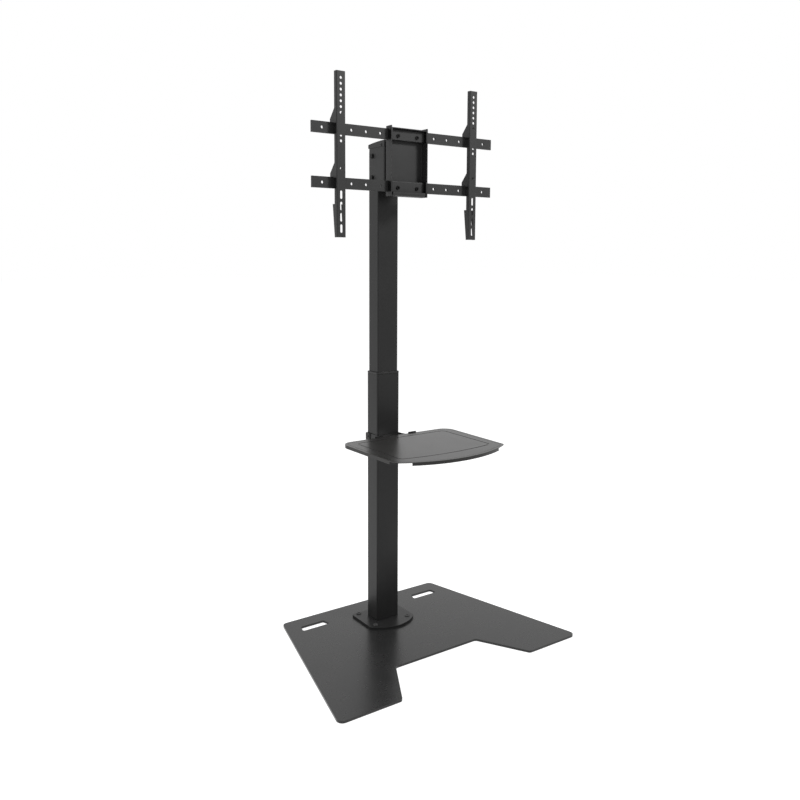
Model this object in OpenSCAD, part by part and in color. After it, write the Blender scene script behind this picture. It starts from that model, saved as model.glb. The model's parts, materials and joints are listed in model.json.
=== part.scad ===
// Floor stand for a television: a splayed steel base, a telescopic column, a shelf and a swivelling mount.
// The column's axis is the origin, the floor is Z = 0 and the front faces -Y.

/* [Base] */
// Width of the base plate across the tips of its two legs
base_w = 890; // [820:2:920]
// Length of the base plate's straight back edge
base_back_w = 608; // [560:1:640]
// Distance from the column's axis back to the back edge
base_back_y = 142; // [120:1:160]
// Distance from the column's axis forward to the tips of the legs
base_front_y = 458; // [420:1:480]
// Width between the two legs at their tips
leg_gap_w = 482; // [440:1:500]
// Width of the notch between the legs at its inner end
notch_w = 308; // [280:1:340]
// Depth of the notch from the tips
notch_d = 158; // [120:1:180]
// Thickness of the base plate
base_t = 7; // [5:0.5:10]
// Thickness of the pads under the base plate
pad_t = 1; // [1:0.5:3]
// Radius of the base plate's outer corners
base_r = 18; // [10:1:30]

/* [Foot flange] */
// Width of the flange under the column
foot_w = 172; // [160:1:190]
// Thickness of the flange
foot_t = 7; // [4:0.5:8]
// Half the distance between the flange screws, across
foot_screw_x = 63; // [56:1:66]
// Half the distance between the flange screws, front to back
foot_screw_y = 52; // [44:1:54]

/* [Column] */
// Width of the lower tube
lower_w = 85; // [80:1:92]
// Depth of the lower tube
lower_d = 62; // [58:1:68]
// Wall of the lower tube
lower_wall = 3; // [2:0.5:3]
// Height of the top of the guide collar above the floor
collar_top = 846.5; // [760:0.5:900]
// Height of the guide collar
collar_h = 7; // [5:0.5:12]
// Width of the upper tube
upper_w = 77; // [72:0.5:78]
// Depth of the upper tube
upper_d = 54; // [50:0.5:55]
// Wall of the upper tube
upper_wall = 2.5; // [2:0.5:3]
// Height of the top of the upper tube
upper_top = 1543; // [1500:1:1545]
// Length of the upper tube that stays in the lower one at the height shown
insert_l = 330; // [250:5:400]

/* [Shelf] */
// Height of the shelf's top face
shelf_z = 646; // [420:1:740]
// Width of the shelf at its back edge
shelf_back_w = 416; // [380:1:430]
// Width of the shelf at its front corners
shelf_front_w = 408; // [380:1:430]
// Distance from the column's axis to the back edge
shelf_back_y = 74; // [70:1:84]
// Distance from the column's axis to the front corners
shelf_front_y = 363; // [340:1:390]
// How far the front edge bows out
shelf_bow = 60; // [40:1:70]
// Thickness of the shelf's sheet
shelf_t = 2; // [1.5:0.5:3]
// Depth of the folded edge under the shelf
skirt_h = 10; // [8:1:16]
// Distance from the shelf's edge to the faint line round its rim
rim_in = 9; // [6:1:14]

/* [Mount] */
// Height of the centre of the lower rail
rail_low_z = 1425.5; // [1423:0.5:1428]
// Distance between the centres of the two rails
rail_pitch = 153; // [151:0.2:154]
// Length of a rail
rail_l = 665; // [620:1:720]
// Height of a rail
rail_h = 32.3; // [30:0.1:33]
// Thickness of a rail
rail_d = 6; // [4:0.5:8]
// Distance from the column's axis to the front face of the rails
rail_y = 126; // [125.5:0.5:127]
// Sideways place of the rails in the frame
rail_shift = 5; // [-8:0.5:8]
// Width of the folded frame that carries the rails
frame_w = 135; // [130:1:140]
// Distance from the column's axis to the pin on which the frame turns
pin_y = 88; // [86:1:89]

/* [Arms] */
// Distance between the middles of the two arms
arm_pitch = 488; // [300:0.5:600]
// Width of an arm
arm_w = 30; // [28:0.5:32]
// Length of an arm
arm_l = 464.9; // [450:0.1:480]
// Height of the lower end of the arms
arm_low_z = 1269.9; // [1268:0.1:1274]
// Distance from the column's axis to the front face of the arms
arm_y = 147.75; // [147:0.25:149]
// Distance between the round screen holes in an arm
hole_pitch = 16; // [14:1:17]

/* [Hidden] */

$fn = 48;
eps = 0.01;
gap = 0.3;
sheet = 2.5;
coat = [0.13, 0.13, 0.14];
coat_top = [0.17, 0.17, 0.18];
dark = [0.06, 0.06, 0.065];
zinc = [0.35, 0.36, 0.38];
nylon = [0.75, 0.75, 0.72];

base_top = pad_t + base_t;
foot_top = base_top + foot_t;
lower_r = 6;
upper_r = 4;
lower_top = collar_top - collar_h;
upper_low = collar_top - insert_l;
glide_h = 24;

// Screw sizes: shank radius, and the clearance round a shank in a drilled hole
m8_r = 4;
m12_r = 6;
m6_r = 3;
m5_r = 2.5;
thread_gap = 0.05;
drill_gap = 0.25;

// Places on the head, as heights above the floor and distances in front of the column's axis
yoke_low = 1430;
yoke_back_y = 19.5;
yoke_front_y = 66;
yoke_in_x = upper_w / 2 + 0.2;
yoke_out_x = yoke_in_x + sheet;
yoke_bolt_z = [1461, 1528];
cap_low = 1552.5;
cap_t = 1.6;
cap_back_z = 1564.4;
cap_front_z = 1571;
cap_bulge = 1.2;
cap_screw_z = 1558;
cap_screw_y = 50;
ear_t = 5;
ear_r = 13;
yoke_ear_z = [1440, 1545];
frame_ear_z = [yoke_ear_z[0] + ear_t + 1 + gap, yoke_ear_z[1] - 1 - gap - ear_t];

rail_z = [rail_low_z, rail_low_z + rail_pitch];
frame_front_y = 142.5;
frame_back_y = 111.5;
frame_low = 1396.6;
frame_top = 1603.2;
top_flange_z = 1597.6;
lip_top = 1410;
lip_w = 120;
rail_screw_x = 35;
rail_screw_drop = 3.5;
strip_y = 130;
strip_w = 123.4;
strip_low = 15.2;
strip_high = 16.4;
rail_holes = [100, 150, 200, 298];
rail_hole_r = 4.5;

arm_t = 2.2;
arm_depth = 13.25;
hook_depth = 37.6;
hook_tip = 3.2;
hook_lap = 3.5;

strap_gap = 0.4;
strap_x = lower_w / 2 + strap_gap;
strap_y = lower_d / 2 + strap_gap;
strap_h = 26;
bracket_reach = 300;
clamp_y = 20;
shelf_stud = [[32, 110], [32, 270]];
shelf_back_r = 38;
shelf_front_r = 14;
press_half = 170;
press_back_y = 104;
press_front_y = 340;
press_bow = 18;

// Points of a fillet of radius r at corner b of the path a, b, c
function unit(v) = v / norm(v);
function fillet(a, b, c, r, steps = 8) =
    let (u = unit(a - b), v = unit(c - b), half = acos(u * v) / 2)
    let (centre = b + unit(u + v) * r / sin(half))
    let (s = b + u * r / tan(half) - centre, e = b + v * r / tan(half) - centre)
    let (start = atan2(s.y, s.x), turn = (atan2(e.y, e.x) - start + 540) % 360 - 180)
    [for (i = [0:steps]) centre + r * [cos(start + turn * i / steps), sin(start + turn * i / steps)]];

// An outline whose corner i has the radius radii[i]
function rounded(points, radii) =
    let (n = len(points))
    [for (i = [0:n - 1]) each
        (radii[i] > 0
            ? fillet(points[(i + n - 1) % n], points[i], points[(i + 1) % n], radii[i])
            : [points[i]])];

// The right half of an outline, followed by its mirror image
function both_sides(half) =
    concat(half, [for (i = [len(half) - 1:-1:0]) [-half[i].x, half[i].y]]);

// Radii for both halves
function both_radii(half) = concat(half, [for (i = [len(half) - 1:-1:0]) half[i]]);

// Points of an arc from [half, y] to [-half, y] that bows by rise towards -Y
arc_steps = 9;
function arc(half, y, rise) =
    let (r = (half * half + rise * rise) / (2 * rise), end = asin(half / r))
    [for (i = [arc_steps:-1:-arc_steps]) let (a = end * i / arc_steps)
        [r * sin(a), y - rise + r - r * cos(a)]];

// An outline with a straight back edge, straight sides and a bowed front edge, with its two corner radii
module bowed(back_half, back_y, front_half, front_y, rise, back_r, front_r) {
    outline = concat([[back_half, back_y]], arc(front_half, front_y, rise), [[-back_half, back_y]]);
    radii = concat([back_r, front_r], [for (i = [2:2 * arc_steps]) 0], [front_r, back_r]);
    polygon(rounded(outline, radii));
}

module rounded_rect(w, d, r) {
    square([w - 2 * r, d], center = true);
    square([w, d - 2 * r], center = true);
    for (x = [-1, 1], y = [-1, 1])
        translate([x * (w / 2 - r), y * (d / 2 - r)])
            circle(r);
}

// A tube section with an even wall
module tube_2d(w, d, r, wall) {
    difference() {
        rounded_rect(w, d, r);
        rounded_rect(w - 2 * wall, d - 2 * wall, r - wall);
    }
}

// A channel bent from sheet: its web lies on Y = 0 and its flanges point to +Y
module channel_2d(w, d, wall, r) {
    intersection() {
        translate([0, d])
            tube_2d(w, 2 * d, r, wall);
        translate([-w, 0])
            square([2 * w, d]);
    }
}

// Lays a drawing of distance in front of the column (x) and height (y) across the object, w wide
module across(w) {
    rotate([90, 0, -90])
        linear_extrude(w, center = true)
            children();
}

// A cylinder along Y from y = 0 forwards, or along X to both sides
module rod_y(r, l) {
    rotate([90, 0, 0])
        cylinder(r = r, h = l);
}
module rod_x(r, l) {
    rotate([0, 90, 0])
        cylinder(r = r, h = l, center = true);
}

// A slot with round ends, seen along Y and cut through by depth
module slot_y(r, l, depth) {
    rotate([90, 0, 0])
        linear_extrude(depth, center = true) {
            square([2 * r, l - 2 * r], center = true);
            for (z = [-1, 1])
                translate([0, z * (l / 2 - r)])
                    circle(r);
        }
}

// A screw along -Z: a low round head with a hexagon socket on top of a plain shank
module screw(r, l, head_r, head_h) {
    translate([0, 0, -l])
        cylinder(r = r, h = l + eps);
    difference() {
        cylinder(r = head_r, h = head_h);
        translate([0, 0, head_h / 3])
            cylinder(r = head_r / 2, h = head_h, $fn = 6);
    }
}

// A hexagon nut standing on Z = 0, for a shank of radius r
module nut(r, across_r, h) {
    difference() {
        cylinder(r = across_r, h = h, $fn = 6);
        translate([0, 0, -1])
            cylinder(r = r + thread_gap, h = h + 2);
    }
}

// Base plate

base_half = [[base_back_w / 2, base_back_y], [base_w / 2, -base_front_y],
             [leg_gap_w / 2, -base_front_y], [notch_w / 2, notch_d - base_front_y]];
slot_half = [[172, 58], [181, 88], [265, 88], [271, 58]];

module foot_screw_places() {
    for (x = [-1, 1], y = [-1, 1])
        translate([x * foot_screw_x, y * foot_screw_y])
            children();
}

module base_plate() {
    color(coat_top)
        translate([0, 0, pad_t])
            difference() {
                linear_extrude(base_t)
                    difference() {
                        polygon(rounded(both_sides(base_half), both_radii([base_r, base_r, 12, 14])));
                        for (side = [-1, 1])
                            polygon([for (p = rounded(slot_half, [5, 5, 5, 5])) [side * p.x, p.y]]);
                    }
                foot_screw_places()
                    translate([0, 0, 1.5])
                        cylinder(r = m8_r + thread_gap, h = base_t);
            }
}

pad_places = [[0, 0], [275, 112], [-275, 112], [388, -428], [-388, -428], [150, -262], [-150, -262]];

module foot_pads() {
    color(dark)
        for (p = pad_places)
            translate(p)
                cylinder(r = 15, h = pad_t);
}

// Column foot

module foot_flange() {
    color(coat)
        translate([0, 0, base_top])
            linear_extrude(foot_t)
                difference() {
                    bowed(foot_w / 2, 60, foot_w / 2, -58, 37, 8, 14);
                    foot_screw_places()
                        circle(m8_r + drill_gap);
                }
}

module foot_screws() {
    color(coat)
        translate([0, 0, foot_top])
            foot_screw_places()
                screw(m8_r, foot_t + base_t - 2, 8, 2);
}

// Column

lock_z = [792, 822];

module lower_tube() {
    color(coat)
        difference() {
            translate([0, 0, foot_top])
                linear_extrude(lower_top - foot_top)
                    tube_2d(lower_w, lower_d, lower_r, lower_wall);
            for (z = lock_z)
                translate([0, lower_d / 2 + 5, z])
                    rod_y(m8_r + thread_gap, 5 + lower_wall + 1);
        }
}

module column_collar() {
    color(dark)
        translate([0, 0, lower_top])
            linear_extrude(collar_h)
                difference() {
                    rounded_rect(lower_w + 1, lower_d + 1, lower_r + 0.5);
                    rounded_rect(upper_w + 2 * gap, upper_d + 2 * gap, upper_r + gap);
                }
}

module lock_screws() {
    tip = upper_d / 2 + gap;
    color(dark)
        for (z = lock_z)
            translate([0, lower_d / 2, z])
                rotate([-90, 0, 0])
                    screw(m8_r, lower_d / 2 - tip, 8, 6);
}

module upper_tube() {
    color(coat)
        difference() {
            translate([0, 0, upper_low])
                linear_extrude(upper_top - upper_low)
                    tube_2d(upper_w, upper_d, upper_r, upper_wall);
            for (z = yoke_bolt_z)
                translate([0, 0, z])
                    rod_x(m8_r + drill_gap, upper_w + 10);
        }
}

// The plug on the lower end of the upper tube, which guides it in the lower one
module tube_glide() {
    color(dark)
        translate([0, 0, upper_low - glide_h])
            linear_extrude(glide_h)
                difference() {
                    rounded_rect(lower_w - 2 * lower_wall - 2 * gap, lower_d - 2 * lower_wall - 2 * gap,
                                 lower_r - lower_wall - gap);
                    rounded_rect(upper_w - 16, upper_d - 16, 3);
                }
}

// Head: the yoke on the column

// Height of the yoke's top edge at a distance in front of the column's axis
function cap_line(d) =
    let (t = (d + yoke_back_y) / (yoke_front_y + yoke_back_y))
    cap_back_z + (cap_front_z - cap_back_z) * t + cap_bulge * 4 * t * (1 - t);
yoke_steps = [for (i = [0:6]) -yoke_back_y + (yoke_front_y + yoke_back_y) * i / 6];

module ear_2d(r, width, root_y) {
    translate([0, -pin_y]) {
        circle(r);
        translate([-width / 2, min(0, pin_y - root_y)])
            square([width, abs(pin_y - root_y)]);
    }
}

module head_yoke() {
    color(coat)
        difference() {
            union() {
                intersection() {
                    translate([0, -yoke_front_y, yoke_low])
                        linear_extrude(200)
                            channel_2d(2 * yoke_out_x, yoke_front_y + yoke_back_y, sheet, 5);
                    across(200)
                        polygon(concat([[-yoke_back_y, yoke_low - 1], [yoke_front_y, yoke_low - 1]],
                                       [for (i = [6:-1:0])
                                           [yoke_steps[i], cap_line(yoke_steps[i]) - cap_t - gap]]));
                }
                for (z = yoke_ear_z)
                    translate([0, 0, z])
                        linear_extrude(ear_t)
                            ear_2d(ear_r, 2 * ear_r, yoke_front_y - 1);
            }
            for (z = yoke_bolt_z)
                translate([0, 0, z])
                    rod_x(m8_r + drill_gap, 2 * yoke_out_x + 10);
            translate([0, -pin_y, yoke_low])
                cylinder(r = m12_r + thread_gap, h = 200);
            translate([0, -cap_screw_y, cap_screw_z])
                rod_x(m5_r + thread_gap, 2 * yoke_out_x + 10);
        }
}

module yoke_bolts() {
    shank = 2 * yoke_out_x + 12;
    color(zinc)
        for (z = yoke_bolt_z)
            translate([-yoke_out_x, 0, z])
                rotate([0, -90, 0]) {
                    translate([0, 0, -shank])
                        cylinder(r = m8_r, h = shank + 1);
                    cylinder(r = 8, h = 1.5);
                    translate([0, 0, 1.5])
                        cylinder(r = 7.5, h = 5.3, $fn = 6);
                }
}

module yoke_nuts() {
    color(zinc)
        for (z = yoke_bolt_z)
            translate([yoke_out_x, 0, z])
                rotate([0, 90, 0]) {
                    difference() {
                        cylinder(r = 8, h = 1.5);
                        translate([0, 0, -1])
                            cylinder(r = m8_r + thread_gap, h = 4);
                    }
                    translate([0, 0, 1.5])
                        nut(m8_r, 7.5, 6.5);
                }
}

// The sheet cover over the open top of the yoke
module head_cap() {
    out_x = yoke_out_x + gap + cap_t;
    color(coat)
        difference() {
            across(2 * out_x)
                polygon(concat([[-yoke_back_y - 3, cap_low], [yoke_front_y + 2, cap_low],
                                [yoke_front_y + 2, cap_line(yoke_front_y)]],
                               [for (i = [6:-1:0]) [yoke_steps[i], cap_line(yoke_steps[i])]],
                               [[-yoke_back_y - 3, cap_back_z - 0.3]]));
            across(2 * (out_x - cap_t))
                polygon(concat([[-yoke_back_y - 3 + cap_t, cap_low - 1],
                                [yoke_front_y + gap, cap_low - 1]],
                               [for (i = [6:-1:0]) [yoke_steps[i] + (i == 6 ? gap : 0),
                                                    cap_line(yoke_steps[i]) - cap_t]],
                               [[-yoke_back_y - 3 + cap_t, cap_back_z - 0.3 - cap_t]]));
            translate([0, -cap_screw_y, cap_screw_z])
                rod_x(m5_r + drill_gap, 2 * out_x + 10);
        }
}

module cap_screws() {
    out_x = yoke_out_x + gap + cap_t;
    color(dark)
        for (side = [-1, 1])
            translate([side * out_x, -cap_screw_y, cap_screw_z])
                rotate([0, side * 90, 0])
                    screw(m5_r, 8, 4.5, 2);
}

// Head: the swivel

module swivel_bolt() {
    low = yoke_ear_z[0] - 12;
    high = yoke_ear_z[1] + ear_t;
    color(zinc)
        translate([0, -pin_y, 0]) {
            translate([0, 0, low])
                cylinder(r = m12_r, h = high - low + 1);
            translate([0, 0, high])
                cylinder(r = 10.5, h = 7.5, $fn = 6);
        }
}

module swivel_washers() {
    color(nylon)
        for (z = [yoke_ear_z[0] + ear_t, yoke_ear_z[1] - 1])
            translate([0, -pin_y, z])
                difference() {
                    cylinder(r = 11, h = 1);
                    translate([0, 0, -1])
                        cylinder(r = m12_r + drill_gap, h = 3);
                }
}

module swivel_nut() {
    color(zinc)
        translate([0, -pin_y, yoke_ear_z[0] - 10])
            nut(m12_r, 10.5, 10);
}

// Head: the folded frame and the rails

frame_out_x = frame_w / 2;

module rail_screw_places() {
    for (x = [-1, 1], z = rail_z)
        translate([x * rail_screw_x, 0, z - rail_screw_drop])
            children();
}

// The flange at the foot of the frame, which turns up into a lip at the front
module frame_lip() {
    across(lip_w)
        intersection() {
            translate([frame_front_y - 50, frame_low + 50])
                tube_2d(100, 100, 8, sheet);
            translate([frame_back_y + 1, frame_low])
                square([frame_front_y - frame_back_y, lip_top - frame_low]);
        }
}

module rail_frame() {
    wall_y = frame_back_y + sheet;
    color(coat)
        difference() {
            union() {
                difference() {
                    translate([0, -frame_back_y, frame_low])
                        mirror([0, 1, 0])
                            linear_extrude(frame_top - frame_low)
                                channel_2d(frame_w, frame_front_y - frame_back_y, sheet, 4);
                    translate([-frame_out_x + 4, -wall_y - 5, top_flange_z])
                        cube([frame_w - 8, sheet + 10, 20]);
                }
                translate([-frame_out_x + 1, -frame_front_y, top_flange_z - sheet])
                    cube([frame_w - 2, frame_front_y - wall_y + 1, sheet]);
                frame_lip();
                for (z = frame_ear_z)
                    translate([0, 0, z])
                        linear_extrude(ear_t)
                            ear_2d(12, 40, frame_back_y + 1);
            }
            for (z = rail_z)
                translate([-frame_w, -frame_front_y - 5, z - rail_h / 2 - gap])
                    cube([2 * frame_w, frame_front_y + 5 - rail_y + rail_d + gap, rail_h + 2 * gap]);
            rail_screw_places()
                translate([0, -frame_back_y + 5, 0])
                    rod_y(m6_r + drill_gap, 15);
            translate([0, -pin_y, frame_low])
                cylinder(r = m12_r + thread_gap, h = 200);
        }
}

// The plates in front of the rails, rounded along their upper front edge
module rail_strips() {
    back_y = rail_y + 0.05;
    color(coat)
        difference() {
            for (z = rail_z)
                across(strip_w)
                    polygon(rounded([[back_y, z - strip_low], [strip_y, z - strip_low],
                                     [strip_y, z + strip_high], [back_y, z + strip_high]], [0, 0, 2.5, 0]));
            rail_screw_places()
                translate([0, -rail_y + 5, 0])
                    rod_y(m6_r + drill_gap, 15);
        }
}

// The dark blocks that fill the slots of the frame's cheeks in front of the rails
module rail_guides() {
    low = -rail_h / 2 - gap + 0.05;
    color(dark)
        for (side = [-1, 1], z = rail_z)
            translate([side * 65.1, -(rail_y + frame_front_y) / 2 - 0.1, z])
                cube([5.8, frame_front_y - rail_y - 0.4, -2 * low], center = true);
}

// The rings that keep the rails off the frame's back wall
module rail_spacers() {
    low_y = frame_back_y + sheet;
    color(zinc)
        rail_screw_places()
            translate([0, -low_y, 0])
                difference() {
                    rod_y(8, rail_y - rail_d - low_y);
                    translate([0, 1, 0])
                        rod_y(m6_r + drill_gap, 20);
                }
}

// A flat rail, with round holes for the screen and a slot for each of its two screws
module rail(z) {
    color(coat)
        translate([rail_shift, -rail_y + rail_d / 2, z])
            difference() {
                cube([rail_l, rail_d, rail_h], center = true);
                for (x = rail_holes, side = [-1, 1])
                    translate([side * x, rail_d, 0])
                        rod_y(rail_hole_r, 2 * rail_d);
                for (side = [-1, 1])
                    translate([side * rail_screw_x, 0, -rail_screw_drop])
                        rotate([0, 90, 0])
                            slot_y(m6_r + drill_gap, 24, 2 * rail_d);
            }
}

module rail_top() {
    rail(rail_z[1]);
}

module rail_bottom() {
    rail(rail_z[0]);
}

module rail_screws() {
    color(dark)
        rail_screw_places()
            translate([0, -strip_y, 0])
                rotate([90, 0, 0])
                    screw(m6_r, strip_y - frame_back_y + 7, 5.5, 3.3);
}

module rail_nuts() {
    color(zinc)
        rail_screw_places()
            translate([0, -frame_back_y, 0])
                rotate([-90, 0, 0])
                    nut(m6_r, 5.8, 5);
}

// Arms

arm_top_z = arm_low_z + arm_l;
arm_hole_z = concat([for (i = [0:6]) arm_top_z - 18.6 - i * hole_pitch],
                    [arm_low_z + 287.6, arm_low_z + 271.7, arm_low_z + 194]);
arm_slot_z = [for (i = [0:3]) arm_low_z + 121 - i * 32];

// One hook over a rail and the notch under it, from top to bottom, as depth behind the arm's face and height
function hook(z, rise, drop) =
    let (top = z + rail_h / 2 + gap, front = arm_y - rail_y - gap, back = front + rail_d + 2 * gap)
    [[arm_depth, top + rise], [hook_depth, top + rise - 28], [hook_depth, z - drop],
     [hook_depth - hook_tip / 2, z - drop - 3], [back, z - drop], [back, top], [front, top],
     [front, top - hook_lap], [arm_t, top - hook_lap], [arm_t, z - rail_h / 2 - 1],
     [arm_depth, z - rail_h / 2 - 1]];

module arm(side) {
    outline = concat([[-1, arm_top_z], [arm_depth, arm_top_z]],
                     hook(rail_z[1], 38, 2), hook(rail_z[0], 39, 2),
                     [[arm_depth, arm_low_z + 95], [arm_depth + 10.5, arm_low_z + 95],
                      [arm_depth, arm_low_z + 2], [arm_depth, arm_low_z], [-1, arm_low_z]]);
    color(coat)
        translate([side * arm_pitch / 2, -arm_y, 0])
            difference() {
                intersection() {
                    translate([0, 0, arm_low_z])
                        linear_extrude(arm_l)
                            channel_2d(arm_w, hook_depth + 1, arm_t, 3);
                    rotate([90, 0, 90])
                        linear_extrude(2 * arm_w, center = true)
                            polygon(outline);
                }
                for (z = arm_hole_z)
                    translate([0, arm_t + 1, z])
                        rod_y(m8_r, arm_t + 2);
                for (z = arm_slot_z)
                    translate([0, 0, z])
                        slot_y(m8_r, 24, 3 * arm_t);
            }
}

module arm_left() {
    arm(-1);
}

module arm_right() {
    arm(1);
}

// Shelf

// The shelf's outline, drawn in by a distance all round
module shelf_2d(inset) {
    half = shelf_front_w / 2;
    bow_r = (half * half + shelf_bow * shelf_bow) / (2 * shelf_bow);
    in_half = half - inset;
    in_r = bow_r - inset;
    rise = in_r - sqrt(in_r * in_r - in_half * in_half);
    bowed(shelf_back_w / 2 - inset, -shelf_back_y - inset, in_half,
          -shelf_front_y - shelf_bow + inset + rise, rise, shelf_back_r - inset, shelf_front_r - inset);
}

// The line pressed into the shelf's top, drawn in by a distance all round
module press_2d(inset) {
    bowed(press_half - inset, -press_back_y - inset, press_half - inset, -press_front_y + inset,
          press_bow, 18 - inset, 18 - inset);
}

module shelf() {
    skirt_front_x = 160;
    skirt_side_y = 337;
    skirt_gap_x = 86;
    color(coat_top)
        difference() {
            union() {
                translate([0, 0, shelf_z - shelf_t])
                    linear_extrude(shelf_t)
                        shelf_2d(0);
                translate([0, 0, shelf_z - skirt_h])
                    linear_extrude(skirt_h - shelf_t + eps)
                        difference() {
                            shelf_2d(0);
                            shelf_2d(shelf_t);
                            for (side = [-1, 1])
                                translate([side > 0 ? skirt_front_x : -skirt_front_x - 100,
                                           -skirt_side_y - 100])
                                    square(100);
                            translate([-skirt_gap_x, -shelf_back_y - 20])
                                square([2 * skirt_gap_x, 40]);
                        }
                for (side = [-1, 1], p = shelf_stud)
                    translate([side * p.x, -p.y, shelf_z - shelf_t - 14])
                        cylinder(r = m5_r, h = 14 + eps);
            }
            translate([0, 0, shelf_z - 0.8])
                linear_extrude(1)
                    difference() {
                        press_2d(0);
                        press_2d(3.5);
                    }
            translate([0, 0, shelf_z - 0.3])
                linear_extrude(1)
                    difference() {
                        shelf_2d(rim_in);
                        shelf_2d(rim_in + 1.2);
                    }
        }
}

// The bracket: a strap round the front of the column, an arm under the shelf on each side
// and a tab on each side that stands up behind the shelf
module shelf_bracket() {
    z0 = shelf_z - shelf_t - strap_h;
    tab_y = shelf_back_y - gap;
    color(coat)
        difference() {
            union() {
                translate([0, 0, z0])
                    linear_extrude(strap_h - 2.5) {
                        for (side = [-1, 1])
                            translate([side * (strap_x + sheet / 2), (clamp_y + 8 - strap_y - sheet) / 2])
                                square([sheet, clamp_y + 8 + strap_y + sheet], center = true);
                        translate([0, -strap_y - sheet / 2])
                            square([2 * strap_x + 2 * sheet, sheet], center = true);
                    }
                for (side = [-1, 1])
                    translate([side * (strap_x + sheet / 2), 0, 0]) {
                        across(sheet)
                            polygon([[strap_y, z0], [bracket_reach - 60, z0 + 6], [bracket_reach, z0 + 14],
                                     [bracket_reach, z0 + strap_h], [tab_y, z0 + strap_h],
                                     [strap_y + 8, z0 + strap_h - 2.5], [strap_y, z0 + strap_h - 2.5]]);
                        translate([side > 0 ? -20 : -2, -bracket_reach, z0 + strap_h - sheet])
                            cube([22, bracket_reach - shelf_back_y - 6, sheet]);
                    }
                for (side = [-1, 1])
                    translate([side > 0 ? strap_x + eps : -80, -tab_y, z0 + 4])
                        cube([80 - strap_x - eps, sheet, strap_h - 6]);
                for (side = [-1, 1])
                    translate([side * 65 - 15, -tab_y, z0 + 4])
                        cube([30, sheet, strap_h + 2]);
            }
            for (side = [-1, 1], p = shelf_stud)
                translate([side * p.x, -p.y, z0])
                    cylinder(r = m5_r + drill_gap, h = 2 * strap_h);
            for (side = [-1, 1])
                translate([side * (strap_x + sheet / 2), clamp_y, z0 + strap_h / 2])
                    rod_x(m5_r + drill_gap, 10);
        }
}

// The plate behind the column that closes the strap, with a tongue along each side
module shelf_clamp() {
    z0 = shelf_z - shelf_t - strap_h;
    out_x = strap_x + sheet + 0.1 + sheet;
    color(coat)
        difference() {
            translate([0, strap_y + sheet, z0])
                linear_extrude(strap_h - 2.5)
                    rotate(180)
                        channel_2d(2 * out_x, 26, sheet, 4);
            for (side = [-1, 1])
                translate([side * (out_x - sheet / 2), clamp_y, z0 + strap_h / 2])
                    rod_x(m5_r + thread_gap, 10);
        }
}

module clamp_screws() {
    out_x = strap_x + 2 * sheet + 0.1;
    color(dark)
        for (side = [-1, 1])
            translate([side * out_x, clamp_y, shelf_z - shelf_t - strap_h / 2])
                rotate([0, side * 90, 0])
                    screw(m5_r, 2 * sheet + 0.1, 4.5, 2);
}

module shelf_nuts() {
    color(zinc)
        for (side = [-1, 1], p = shelf_stud)
            translate([side * p.x, -p.y, shelf_z - shelf_t - sheet - 4.5])
                nut(m5_r, 4.6, 4.5);
}

base_plate();
foot_pads();
foot_flange();
foot_screws();
lower_tube();
column_collar();
lock_screws();
upper_tube();
tube_glide();
head_yoke();
yoke_bolts();
yoke_nuts();
head_cap();
cap_screws();
swivel_bolt();
swivel_washers();
swivel_nut();
rail_frame();
rail_strips();
rail_top();
rail_bottom();
rail_spacers();
rail_guides();
rail_screws();
rail_nuts();
arm_left();
arm_right();
shelf();
shelf_bracket();
shelf_clamp();
clamp_screws();
shelf_nuts();
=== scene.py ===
# %% [markdown]
# # A steel floor stand for a television
#
# The stand is folded and welded sheet steel under one coat of satin black powder. Almost nothing on
# it is bright, so the whole picture lives from thin lines of light along bent edges and from the
# difference between faces that look at the white floor and faces that look away from it. The
# construction comes ready made as a fixed frame, with its screws and nuts. This lesson gives each
# part softened edges and its finish, and sets up the studio.

# %% Open the frame
import json
from math import atan, cos, degrees, radians, sin
import bmesh
import bpy
from mathutils import Matrix, Vector


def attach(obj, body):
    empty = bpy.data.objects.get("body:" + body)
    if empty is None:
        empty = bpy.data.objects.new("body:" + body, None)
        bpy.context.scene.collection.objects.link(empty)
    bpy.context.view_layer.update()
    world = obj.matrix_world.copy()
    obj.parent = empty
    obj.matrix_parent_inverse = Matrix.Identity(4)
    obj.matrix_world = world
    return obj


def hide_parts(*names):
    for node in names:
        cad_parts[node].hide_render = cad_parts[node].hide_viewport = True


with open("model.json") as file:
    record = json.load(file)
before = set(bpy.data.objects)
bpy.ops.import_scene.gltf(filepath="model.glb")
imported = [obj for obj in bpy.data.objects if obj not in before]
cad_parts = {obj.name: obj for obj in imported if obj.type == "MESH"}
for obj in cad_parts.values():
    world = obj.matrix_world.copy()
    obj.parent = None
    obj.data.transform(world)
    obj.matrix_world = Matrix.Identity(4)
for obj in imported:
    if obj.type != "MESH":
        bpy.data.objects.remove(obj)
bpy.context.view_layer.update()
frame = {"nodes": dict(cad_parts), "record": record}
nodes = frame["nodes"]
body_of = {node: body for body, members in frame["record"]["behaviour"]["bodies"].items()
           for node in members}
slot_of = {part["node"]: part["material_slot"] for part in frame["record"]["subparts"]}
print("pieces in the frame:", len(nodes))


# %% [markdown]
# ## The camera
#
# A product picture of something tall is taken from a few metres away, a little above its middle,
# and the lens is shifted so that the uprights stay nearly upright. The camera could be turned until
# the picture looks right, but then any later change means starting over. Here its place comes from
# measurements: the height of its eye, the bearing of its view and the slight fall of its axis.

# %% Set the camera
camera_place = Vector((-1.45484, -2.16946, 1.21534))
camera_bearing = radians(-35.04)
camera_fall = radians(6.58)
camera_roll = radians(0.23)
camera_lens = 36.41
camera_shift = -0.0625
sensor_width = 36.0
view_reach = 200.0

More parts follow.
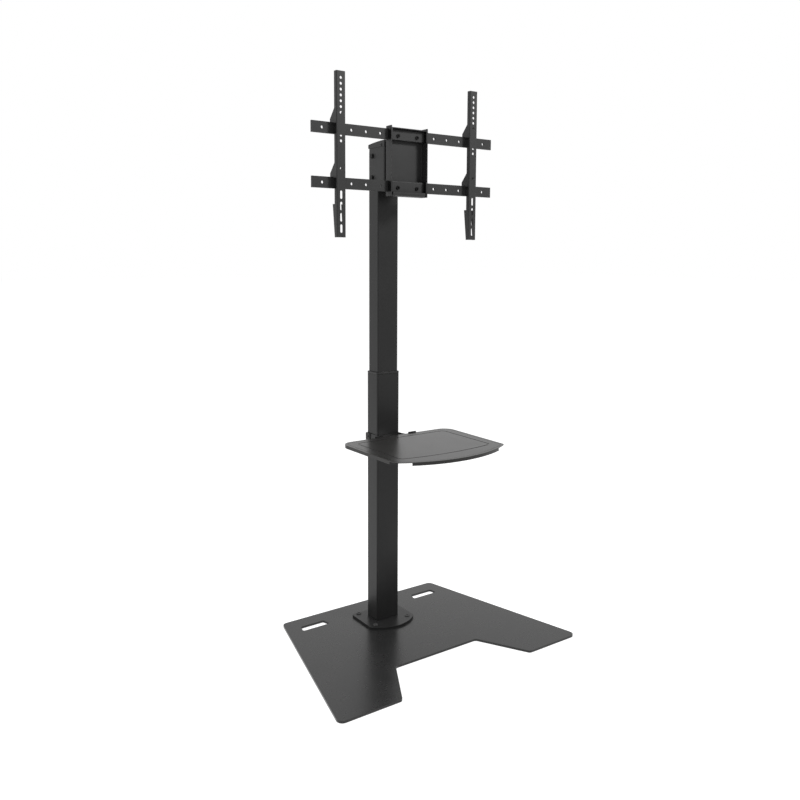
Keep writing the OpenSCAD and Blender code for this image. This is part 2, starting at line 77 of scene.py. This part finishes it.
ahead = Vector((-sin(camera_bearing) * cos(camera_fall), cos(camera_bearing) * cos(camera_fall),
                -sin(camera_fall)))
right = Vector((cos(camera_bearing), sin(camera_bearing), 0.0))
up = right.cross(ahead)
right_turned = right * cos(camera_roll) + up * sin(camera_roll)
up_turned = up * cos(camera_roll) - right * sin(camera_roll)

camera_data = bpy.data.cameras.new("camera")
camera_data.sensor_width = sensor_width
camera_data.lens = camera_lens
camera_data.shift_y = camera_shift
camera_data.clip_end = view_reach
camera = bpy.data.objects.new("camera", camera_data)
bpy.context.scene.collection.objects.link(camera)
camera.matrix_world = Matrix((
    (right_turned.x, up_turned.x, -ahead.x, camera_place.x),
    (right_turned.y, up_turned.y, -ahead.y, camera_place.y),
    (right_turned.z, up_turned.z, -ahead.z, camera_place.z),
    (0.0, 0.0, 0.0, 1.0)))
bpy.context.scene.camera = camera
print("view angle in degrees:", round(degrees(2 * atan(sensor_width / 2 / camera_lens)), 1))

# %% [markdown]
# ## The studio
#
# The stand was taken on a white sweep, where floor and wall are one white. A black object needs
# that white mostly for what it mirrors: a satin coat shows a small share of whatever it faces. The
# floor could be lit until it burns out, but the extra light would wash over the object too. So
# floor and world show their full white only to the camera and to mirror images, and the floor keeps
# a soft shadow.

# %% A helper for node trees
def add_node(tree, kind, settings=None, **inputs):
    """Adds a shader node, sets its properties from settings and its sockets from inputs."""
    node = tree.nodes.new(kind)
    for name, value in (settings or {}).items():
        setattr(node, name, value)
    for name, value in inputs.items():
        socket = node.inputs[name.replace("_", " ")]
        if isinstance(value, bpy.types.NodeSocket):
            tree.links.new(value, socket)
        else:
            socket.default_value = value
    return node


def math_node(tree, operation, first, second=None, clamp=False):
    """Adds a Math node and returns its output."""
    node = tree.nodes.new("ShaderNodeMath")
    node.operation = operation
    node.use_clamp = clamp
    for socket, value in zip(node.inputs, (first, second)):
        if isinstance(value, bpy.types.NodeSocket):
            tree.links.new(value, socket)
        elif value is not None:
            socket.default_value = value
    return node.outputs[0]


def seen_directly(tree):
    """1 where the camera, a mirror image or something clear looks, and 0 for light that bounces."""
    path = tree.nodes.new("ShaderNodeLightPath")
    seen = math_node(tree, "MAXIMUM", path.outputs["Is Camera Ray"], path.outputs["Is Glossy Ray"])
    return math_node(tree, "MAXIMUM", seen, path.outputs["Is Transmission Ray"])


# %% [markdown]
# ## The floor
#
# The sweep is one large sheet. It could be a curved backdrop, but a flat sheet that fades into a
# world of the same white looks the same from every side. It lies a hair below the pads, so that the
# two never fight for the same height.

# %% Lay the floor
floor_half = 40.0
floor_drop = 0.0004
floor_bounce = 0.75
floor_seen = 0.45
floor_glow = 0.85

floor_mesh = bpy.data.meshes.new("floor")
floor_bm = bmesh.new()
bmesh.ops.create_grid(floor_bm, x_segments=1, y_segments=1, size=floor_half)
bmesh.ops.translate(floor_bm, vec=(0.0, 0.0, -floor_drop), verts=floor_bm.verts)
floor_bm.to_mesh(floor_mesh)
floor_bm.free()
floor = bpy.data.objects.new("floor", floor_mesh)
bpy.context.scene.collection.objects.link(floor)

floor_material = bpy.data.materials.new("white_floor")
floor_material.use_nodes = True
tree = floor_material.node_tree
tree.nodes.clear()
seen = seen_directly(tree)
darker = math_node(tree, "MULTIPLY", seen, floor_seen - floor_bounce)
tone = math_node(tree, "ADD", darker, floor_bounce)
surface = add_node(tree, "ShaderNodeBsdfDiffuse", Color=tone)
glow = add_node(tree, "ShaderNodeEmission", Color=(1.0, 1.0, 1.0, 1.0),
                Strength=math_node(tree, "MULTIPLY", seen, floor_glow))
both = tree.nodes.new("ShaderNodeAddShader")
tree.links.new(surface.outputs[0], both.inputs[0])
tree.links.new(glow.outputs[0], both.inputs[1])
add_node(tree, "ShaderNodeOutputMaterial", Surface=both.outputs[0])
floor_mesh.materials.append(floor_material)
print("floor is", 2 * floor_half, "m wide")

# %% [markdown]
# ## The world
#
# A real studio has white walls, which fill the shadows a little. The world could be that bright all
# round, but then it flattens the object. It is white where it is seen and about a third as strong
# where it lights.

# %% Fill the room with white
world_light = 0.35
world = bpy.data.worlds.new("white_room")
bpy.context.scene.world = world
world.use_nodes = True
tree = world.node_tree
tree.nodes.clear()
seen = seen_directly(tree)
strength = math_node(tree, "ADD", math_node(tree, "MULTIPLY", seen, 1.0 - world_light), world_light)
background = add_node(tree, "ShaderNodeBackground", Color=(1.0, 1.0, 1.0, 1.0), Strength=strength)
add_node(tree, "ShaderNodeOutputWorld", Surface=background.outputs[0])
bpy.context.scene.view_settings.view_transform = "Standard"
print("the world lights with strength", world_light)

# %% [markdown]
# ## The lamps
#
# On black, a lamp is seen more by its mirror image than by what it lights. One big lamp in front
# would lay a grey veil over every face that looks at the camera. So the work is shared: a wide lamp
# overhead draws the tops, a tall one on the left draws the left faces, and a small one, high and to
# the right in front, gives the crisp shadow that the edge of the folded plate throws on its back.
# The tall one stands low, so flat tops would mirror it like a wet road to someone on the right. It
# could stand higher, but then it draws the tops and not the sides, so it lights but isn't mirrored.

# %% Set the lamps
def softbox(name, place, aim, width, height, power, mirrored=True):
    """A rectangular lamp at place that faces aim, and that glossy faces may or may not mirror."""
    data = bpy.data.lights.new(name, "AREA")
    data.shape = "RECTANGLE"
    data.size = width
    data.size_y = height
    data.energy = power
    lamp = bpy.data.objects.new(name, data)
    bpy.context.scene.collection.objects.link(lamp)
    lamp.visible_glossy = mirrored
    lamp.location = place
    towards = Vector(aim) - Vector(place)
    lamp.rotation_euler = towards.to_track_quat("-Z", "Y").to_euler()
    print(name, "stands", round(towards.length, 2), "m away")


middle = (0.0, -0.1, 0.9)
softbox("top_softbox", (0.2, 0.5, 3.6), (0.0, 0.0, 0.3), width=2.0, height=2.0, power=52.0)
softbox("side_softbox", (-3.4, 0.6, 1.6), middle, width=1.4, height=2.0, power=62.0,
        mirrored=False)
softbox("key_softbox", (1.6, -2.4, 3.1), (0.0, -0.1, 1.1), width=0.6, height=0.6, power=80.0)

# %% [markdown]
# ## Softened edges
#
# No edge on a sheet part is sharp: the shears leave a burr, the burr is knocked off, and the powder
# melts into a skin that draws back from the corner and rounds it. Those small radii catch the light
# and draw the object's lines. A Bevel node in the shader would fake them, but it is lost when the
# mesh leaves Blender. So each part is copied, its triangles are merged into clean faces, and a real
# bevel goes on every edge that turns sharply. The bevel's own corners are remembered in an
# attribute called edge, where the finish can thin the coat, and where the plastic's finish paints a
# lighter rim that stands in for a highlight.

# %% Turn a part of the frame into a dressed piece
sharp_turn = radians(32)
flat_turn = radians(0.4)
merge_distance = 0.00001
bevel_steps = 2
painted_share = {"foot_screws": 0.8, "cap_screws": 0.8, "clamp_screws": 1.0, "yoke_bolts": 0.25,
                 "yoke_nuts": 0.25}


def clean_copy(node):
    """A bmesh of a frame part with its loose triangles merged into whole faces."""
    bm = bmesh.new()
    bm.from_mesh(nodes[node].data)
    bmesh.ops.remove_doubles(bm, verts=bm.verts, dist=merge_distance)
    bmesh.ops.dissolve_limit(bm, angle_limit=flat_turn, verts=bm.verts, edges=bm.edges)
    return bm


def soften(bm, width):
    """Bevels every sharp edge and returns the vertices that the bevels made."""
    edges = [edge for edge in bm.edges
             if len(edge.link_faces) == 2 and edge.calc_face_angle() > sharp_turn]
    made = bmesh.ops.bevel(bm, geom=edges, offset=width, segments=bevel_steps, profile=0.5,
                           affect="EDGES", clamp_overlap=True, material=-1)
    return made["verts"]


def finish_piece(bm, name, node, wear_and_glint_edges):
    """Makes the object of a piece that stands for node, rides as it does and takes its coat."""
    # The edge layer marks the bevels, where coats thin and where the plastic takes a painted rim
    # highlight.
    layer = bm.verts.layers.float.new("edge")
    for vert in wear_and_glint_edges:
        if vert.is_valid:
            vert[layer] = 1.0
    paint_layer = bm.verts.layers.float.new("painted")
    for vert in bm.verts:
        vert[paint_layer] = painted_share.get(node, 0.0)
    mesh = bpy.data.meshes.new(name)
    for face in bm.faces:
        face.smooth = True
    bm.to_mesh(mesh)
    bm.free()
    mesh.set_sharp_from_angle(angle=sharp_turn)
    piece = bpy.data.objects.new(name, mesh)
    bpy.context.scene.collection.objects.link(piece)
    shading = piece.modifiers.new("even shading", "WEIGHTED_NORMAL")
    shading.keep_sharp = True
    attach(piece, body_of[node])
    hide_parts(node)
    mesh.materials.append(finishes[slot_of[node]])
    return piece


# %% [markdown]
# ## The powder coat
#
# Powder coat is sprayed dry and baked. It flows, but not to a mirror: it keeps a fine skin like an
# orange's, a touch of haze that differs from batch to batch, and thinner colour on corners. Some
# screws are fitted before the booth and take a share of the paint. The skin could be a picture
# wrapped round each part, but it would need a seam on every bend. Noise that lives in the object's
# own space has no seams and keeps its real size on small and large parts.

# %% Two helpers for the effects, and the skin
coarse_step = 0.3
coarse_share = 0.6


def new_group(name, inputs, outputs):
    """An empty shader group with the named sockets, and its two end nodes."""
    group = bpy.data.node_groups.new(name, "ShaderNodeTree")
    for socket_name, kind, value in inputs:
        socket = group.interface.new_socket(name=socket_name, in_out="INPUT", socket_type=kind)
        socket.default_value = value
    for socket_name, kind in outputs:
        group.interface.new_socket(name=socket_name, in_out="OUTPUT", socket_type=kind)
    return group, group.nodes.new("NodeGroupInput"), group.nodes.new("NodeGroupOutput")


def object_noise(tree, scale, detail=2.0, roughness=0.5):
    """Noise in the object's own space, scale times to the metre."""
    place = tree.nodes.new("ShaderNodeTexCoord")
    return add_node(tree, "ShaderNodeTexNoise", Vector=place.outputs["Object"], Scale=scale,
                    Detail=detail, Roughness=roughness).outputs["Fac"]


skin, skin_in, skin_out = new_group(
    "coat_skin",
    [("Grain per metre", "NodeSocketFloat", 900.0), ("Depth", "NodeSocketFloat", 1.0)],
    [("Height", "NodeSocketFloat")])
fine = object_noise(skin, skin_in.outputs["Grain per metre"])
coarse = object_noise(skin, math_node(skin, "MULTIPLY", skin_in.outputs["Grain per metre"],
                                      coarse_step))
height = math_node(skin, "ADD", fine, math_node(skin, "MULTIPLY", coarse, coarse_share))
deep = math_node(skin, "MULTIPLY", height, skin_in.outputs["Depth"])
skin.links.new(deep, skin_out.inputs["Height"])
print("effect:", skin.name)

# %% The haze
cloud_scale = 14.0
cloud_share = 0.35
grit_scale = 1400.0
noise_middle = 0.5

haze, haze_in, haze_out = new_group(
    "coat_haze",
    [("Colour", "NodeSocketColor", (0.03, 0.03, 0.03, 1.0)), ("Roughness", "NodeSocketFloat", 0.45),
     ("Spread", "NodeSocketFloat", 0.06), ("Speckle", "NodeSocketFloat", 0.2)],
    [("Colour", "NodeSocketColor"), ("Roughness", "NodeSocketFloat")])
cloud = math_node(haze, "SUBTRACT", object_noise(haze, cloud_scale, detail=4.0, roughness=0.6),
                  noise_middle)
grit = math_node(haze, "SUBTRACT", object_noise(haze, grit_scale, detail=1.0), noise_middle)
clouds_and_grit = math_node(haze, "ADD", math_node(haze, "MULTIPLY", cloud, cloud_share),
                            math_node(haze, "MULTIPLY", grit, haze_in.outputs["Speckle"]))
shade = math_node(haze, "ADD", 1.0, clouds_and_grit)
scaled = add_node(haze, "ShaderNodeVectorMath", {"operation": "SCALE"}, Scale=shade)
haze.links.new(haze_in.outputs["Colour"], scaled.inputs[0])
haze.links.new(scaled.outputs[0], haze_out.inputs["Colour"])
haze.links.new(math_node(haze, "ADD", haze_in.outputs["Roughness"],
                         math_node(haze, "MULTIPLY", cloud, haze_in.outputs["Spread"])),
               haze_out.inputs["Roughness"])
print("effect:", haze.name)

# %% The thin corners, and a painted highlight on plastic rims
patch_scale = 60.0
patch_range = (0.38, 0.68)
# A Mix node has sockets of the same name for each kind of value, so its colours go by number.
mix_first, mix_second, mix_result = 6, 7, 2

# The corner colour is thin coat on the coats, and a painted highlight along the rims of the
# plastic.
corner, corner_in, corner_out = new_group(
    "thin_corners_and_painted_rim_glint",
    [("Colour", "NodeSocketColor", (0.03, 0.03, 0.03, 1.0)),
     ("Corner colour", "NodeSocketColor", (0.12, 0.12, 0.12, 1.0)),
     ("Amount", "NodeSocketFloat", 0.5)],
    [("Colour", "NodeSocketColor")])
edge_place = add_node(corner, "ShaderNodeAttribute", {"attribute_name": "edge"}).outputs["Fac"]
patchy = add_node(corner, "ShaderNodeMapRange", {"interpolation_type": "SMOOTHSTEP"},
                  Value=object_noise(corner, patch_scale, detail=3.0),
                  From_Min=patch_range[0], From_Max=patch_range[1]).outputs[0]
mask = math_node(corner, "MULTIPLY", math_node(corner, "MULTIPLY", edge_place, patchy),
                 corner_in.outputs["Amount"], clamp=True)
blend = add_node(corner, "ShaderNodeMix", {"data_type": "RGBA"})
corner.links.new(mask, blend.inputs[0])
corner.links.new(corner_in.outputs["Colour"], blend.inputs[mix_first])
corner.links.new(corner_in.outputs["Corner colour"], blend.inputs[mix_second])
corner.links.new(blend.outputs[mix_result], corner_out.inputs["Colour"])
print("effect:", corner.name)

# %% The overspray
overspray, overspray_in, overspray_out = new_group(
    "overspray",
    [("Colour", "NodeSocketColor", (0.01, 0.01, 0.01, 1.0)),
     ("Paint", "NodeSocketColor", (0.07, 0.07, 0.07, 1.0))],
    [("Colour", "NodeSocketColor")])
painted_place = add_node(overspray, "ShaderNodeAttribute",
                         {"attribute_name": "painted"}).outputs["Fac"]
painted = add_node(overspray, "ShaderNodeMix", {"data_type": "RGBA"})
overspray.links.new(painted_place, painted.inputs[0])
overspray.links.new(overspray_in.outputs["Colour"], painted.inputs[mix_first])
overspray.links.new(overspray_in.outputs["Paint"], painted.inputs[mix_second])
overspray.links.new(painted.outputs[mix_result], overspray_out.inputs["Colour"])
print("effect:", overspray.name)

# %% [markdown]
# ## The finishes
#
# Coat, oxide, zinc, plastic and nylon differ in depth of colour, polish and grain. Each could have
# nodes of its own, but the same four effects with other values keep them related, and a change to
# one effect reaches them all.

# %% Mix a finish from the effects
bump_height = 0.0001
bump_strength = 0.35


def place_group(tree, group):
    """Puts a shader group into a material."""
    node = tree.nodes.new("ShaderNodeGroup")
    node.node_tree = group
    return node


def make_finish(name, colour, roughness, grain, depth, metallic=0.0, spread=0.06, speckle=0.2,
                corner_colour=(0.11, 0.11, 0.11, 1.0), corner_amount=0.5, gloss=0.5):
    """A Principled finish whose colour, roughness and bump come from the four effects."""
    material = bpy.data.materials.new(name)
    material.use_nodes = True
    tree = material.node_tree
    shader = tree.nodes["Principled BSDF"]
    shader.inputs["Metallic"].default_value = metallic
    shader.inputs["Specular IOR Level"].default_value = gloss
    clouds = place_group(tree, haze)
    clouds.inputs["Colour"].default_value = (*colour, 1.0)
    clouds.inputs["Roughness"].default_value = roughness
    clouds.inputs["Spread"].default_value = spread
    clouds.inputs["Speckle"].default_value = speckle
    # Bevels get the corner colour: thin coat on the coats, a painted rim highlight on the plastic.
    wear_and_glint_edges = place_group(tree, corner)
    wear_and_glint_edges.inputs["Corner colour"].default_value = corner_colour
    wear_and_glint_edges.inputs["Amount"].default_value = corner_amount
    paint = place_group(tree, overspray)
    tree.links.new(clouds.outputs["Colour"], paint.inputs["Colour"])
    tree.links.new(paint.outputs["Colour"], wear_and_glint_edges.inputs["Colour"])
    tree.links.new(wear_and_glint_edges.outputs["Colour"], shader.inputs["Base Color"])
    tree.links.new(clouds.outputs["Roughness"], shader.inputs["Roughness"])
    grain_node = place_group(tree, skin)
    grain_node.inputs["Grain per metre"].default_value = grain
    grain_node.inputs["Depth"].default_value = depth
    bump = add_node(tree, "ShaderNodeBump", Height=grain_node.outputs["Height"],
                    Distance=bump_height)
    bump.inputs["Strength"].default_value = bump_strength
    tree.links.new(bump.outputs[0], shader.inputs["Normal"])
    print("finish:", name)
    return material


# %% Make the finish of each slot
finishes = {
    "base_coat": make_finish("satin_black_base", (0.016, 0.016, 0.016), roughness=0.27,
                             grain=900.0, depth=1.0, gloss=0.35),
    "column_coat": make_finish("satin_black_column", (0.015, 0.015, 0.015), roughness=0.34,
                               grain=800.0, depth=1.0, gloss=0.22),
    "mount_coat": make_finish("satin_black_mount", (0.034, 0.034, 0.034), roughness=0.44,
                              grain=1000.0, depth=1.0, gloss=0.16),
    "shelf_coat": make_finish("satin_black_shelf", (0.015, 0.0145, 0.014), roughness=0.3,
                              grain=900.0, depth=0.7, gloss=0.27),
    "black_screws": make_finish("black_oxide_screws", (0.004, 0.004, 0.004), roughness=0.42,
                                grain=2500.0, depth=0.4, corner_amount=0.3, gloss=0.08),
    "dark_zinc": make_finish("dark_zinc_bolts", (0.16, 0.16, 0.17), roughness=0.36,
                             grain=2500.0, depth=0.4, metallic=1.0, spread=0.12),
    # On the rail guides in the cheek slots this near-black is painted shade: they fill slots that
    # are dark only from shadow. On the collar and the glides it is the plastic's own colour.
    "black_plastic": make_finish("black_plastic_with_painted_rim_and_slot_shade", (0.006, 0.006, 0.006), roughness=0.3,
                                 # This light corner colour paints a highlight along the plastic's
                                 # bevelled rims, such as the collar's top edge.
                                 grain=1500.0, depth=0.6, corner_colour=(0.3, 0.3, 0.3, 1.0),
                                 gloss=0.35),
    "nylon": make_finish("plain_nylon", (0.58, 0.57, 0.54), roughness=0.5, grain=1200.0,
                         depth=0.5, corner_amount=0.0),
}

# %% [markdown]
# ## Dress every part
#
# Each part's edge radius follows how it is made: heavy plate is cut and ground, folded sheet keeps
# only the thickness of its skin, the collar comes round out of its mould, and screws and other
# small parts have a small chamfer. One radius for all would be shorter, but it would make the
# screws soft or the plate sharp.

# %% Choose the edge radius of each part
edge_radius = {
    "base_plate": 0.0012, "foot_flange": 0.0008, "lower_tube": 0.0004, "upper_tube": 0.0004,
    "column_collar": 0.002, "tube_glide": 0.0006, "foot_pads": 0.0002, "head_yoke": 0.0004,
    "head_cap": 0.0004, "rail_frame": 0.0004, "rail_strips": 0.0004, "rail_top": 0.0003,
    "rail_bottom": 0.0003, "arm_left": 0.0004, "arm_right": 0.0004, "shelf": 0.0003,
    "shelf_bracket": 0.0004, "shelf_clamp": 0.0004,
}
small_part_radius = 0.0003

for node in nodes:
    bm = clean_copy(node)
    wear_and_glint_edges = soften(bm, edge_radius.get(node, small_part_radius))
    piece = finish_piece(bm, node + "_dressed", node, wear_and_glint_edges)
    print(piece.name, "has", len(piece.data.polygons), "faces")
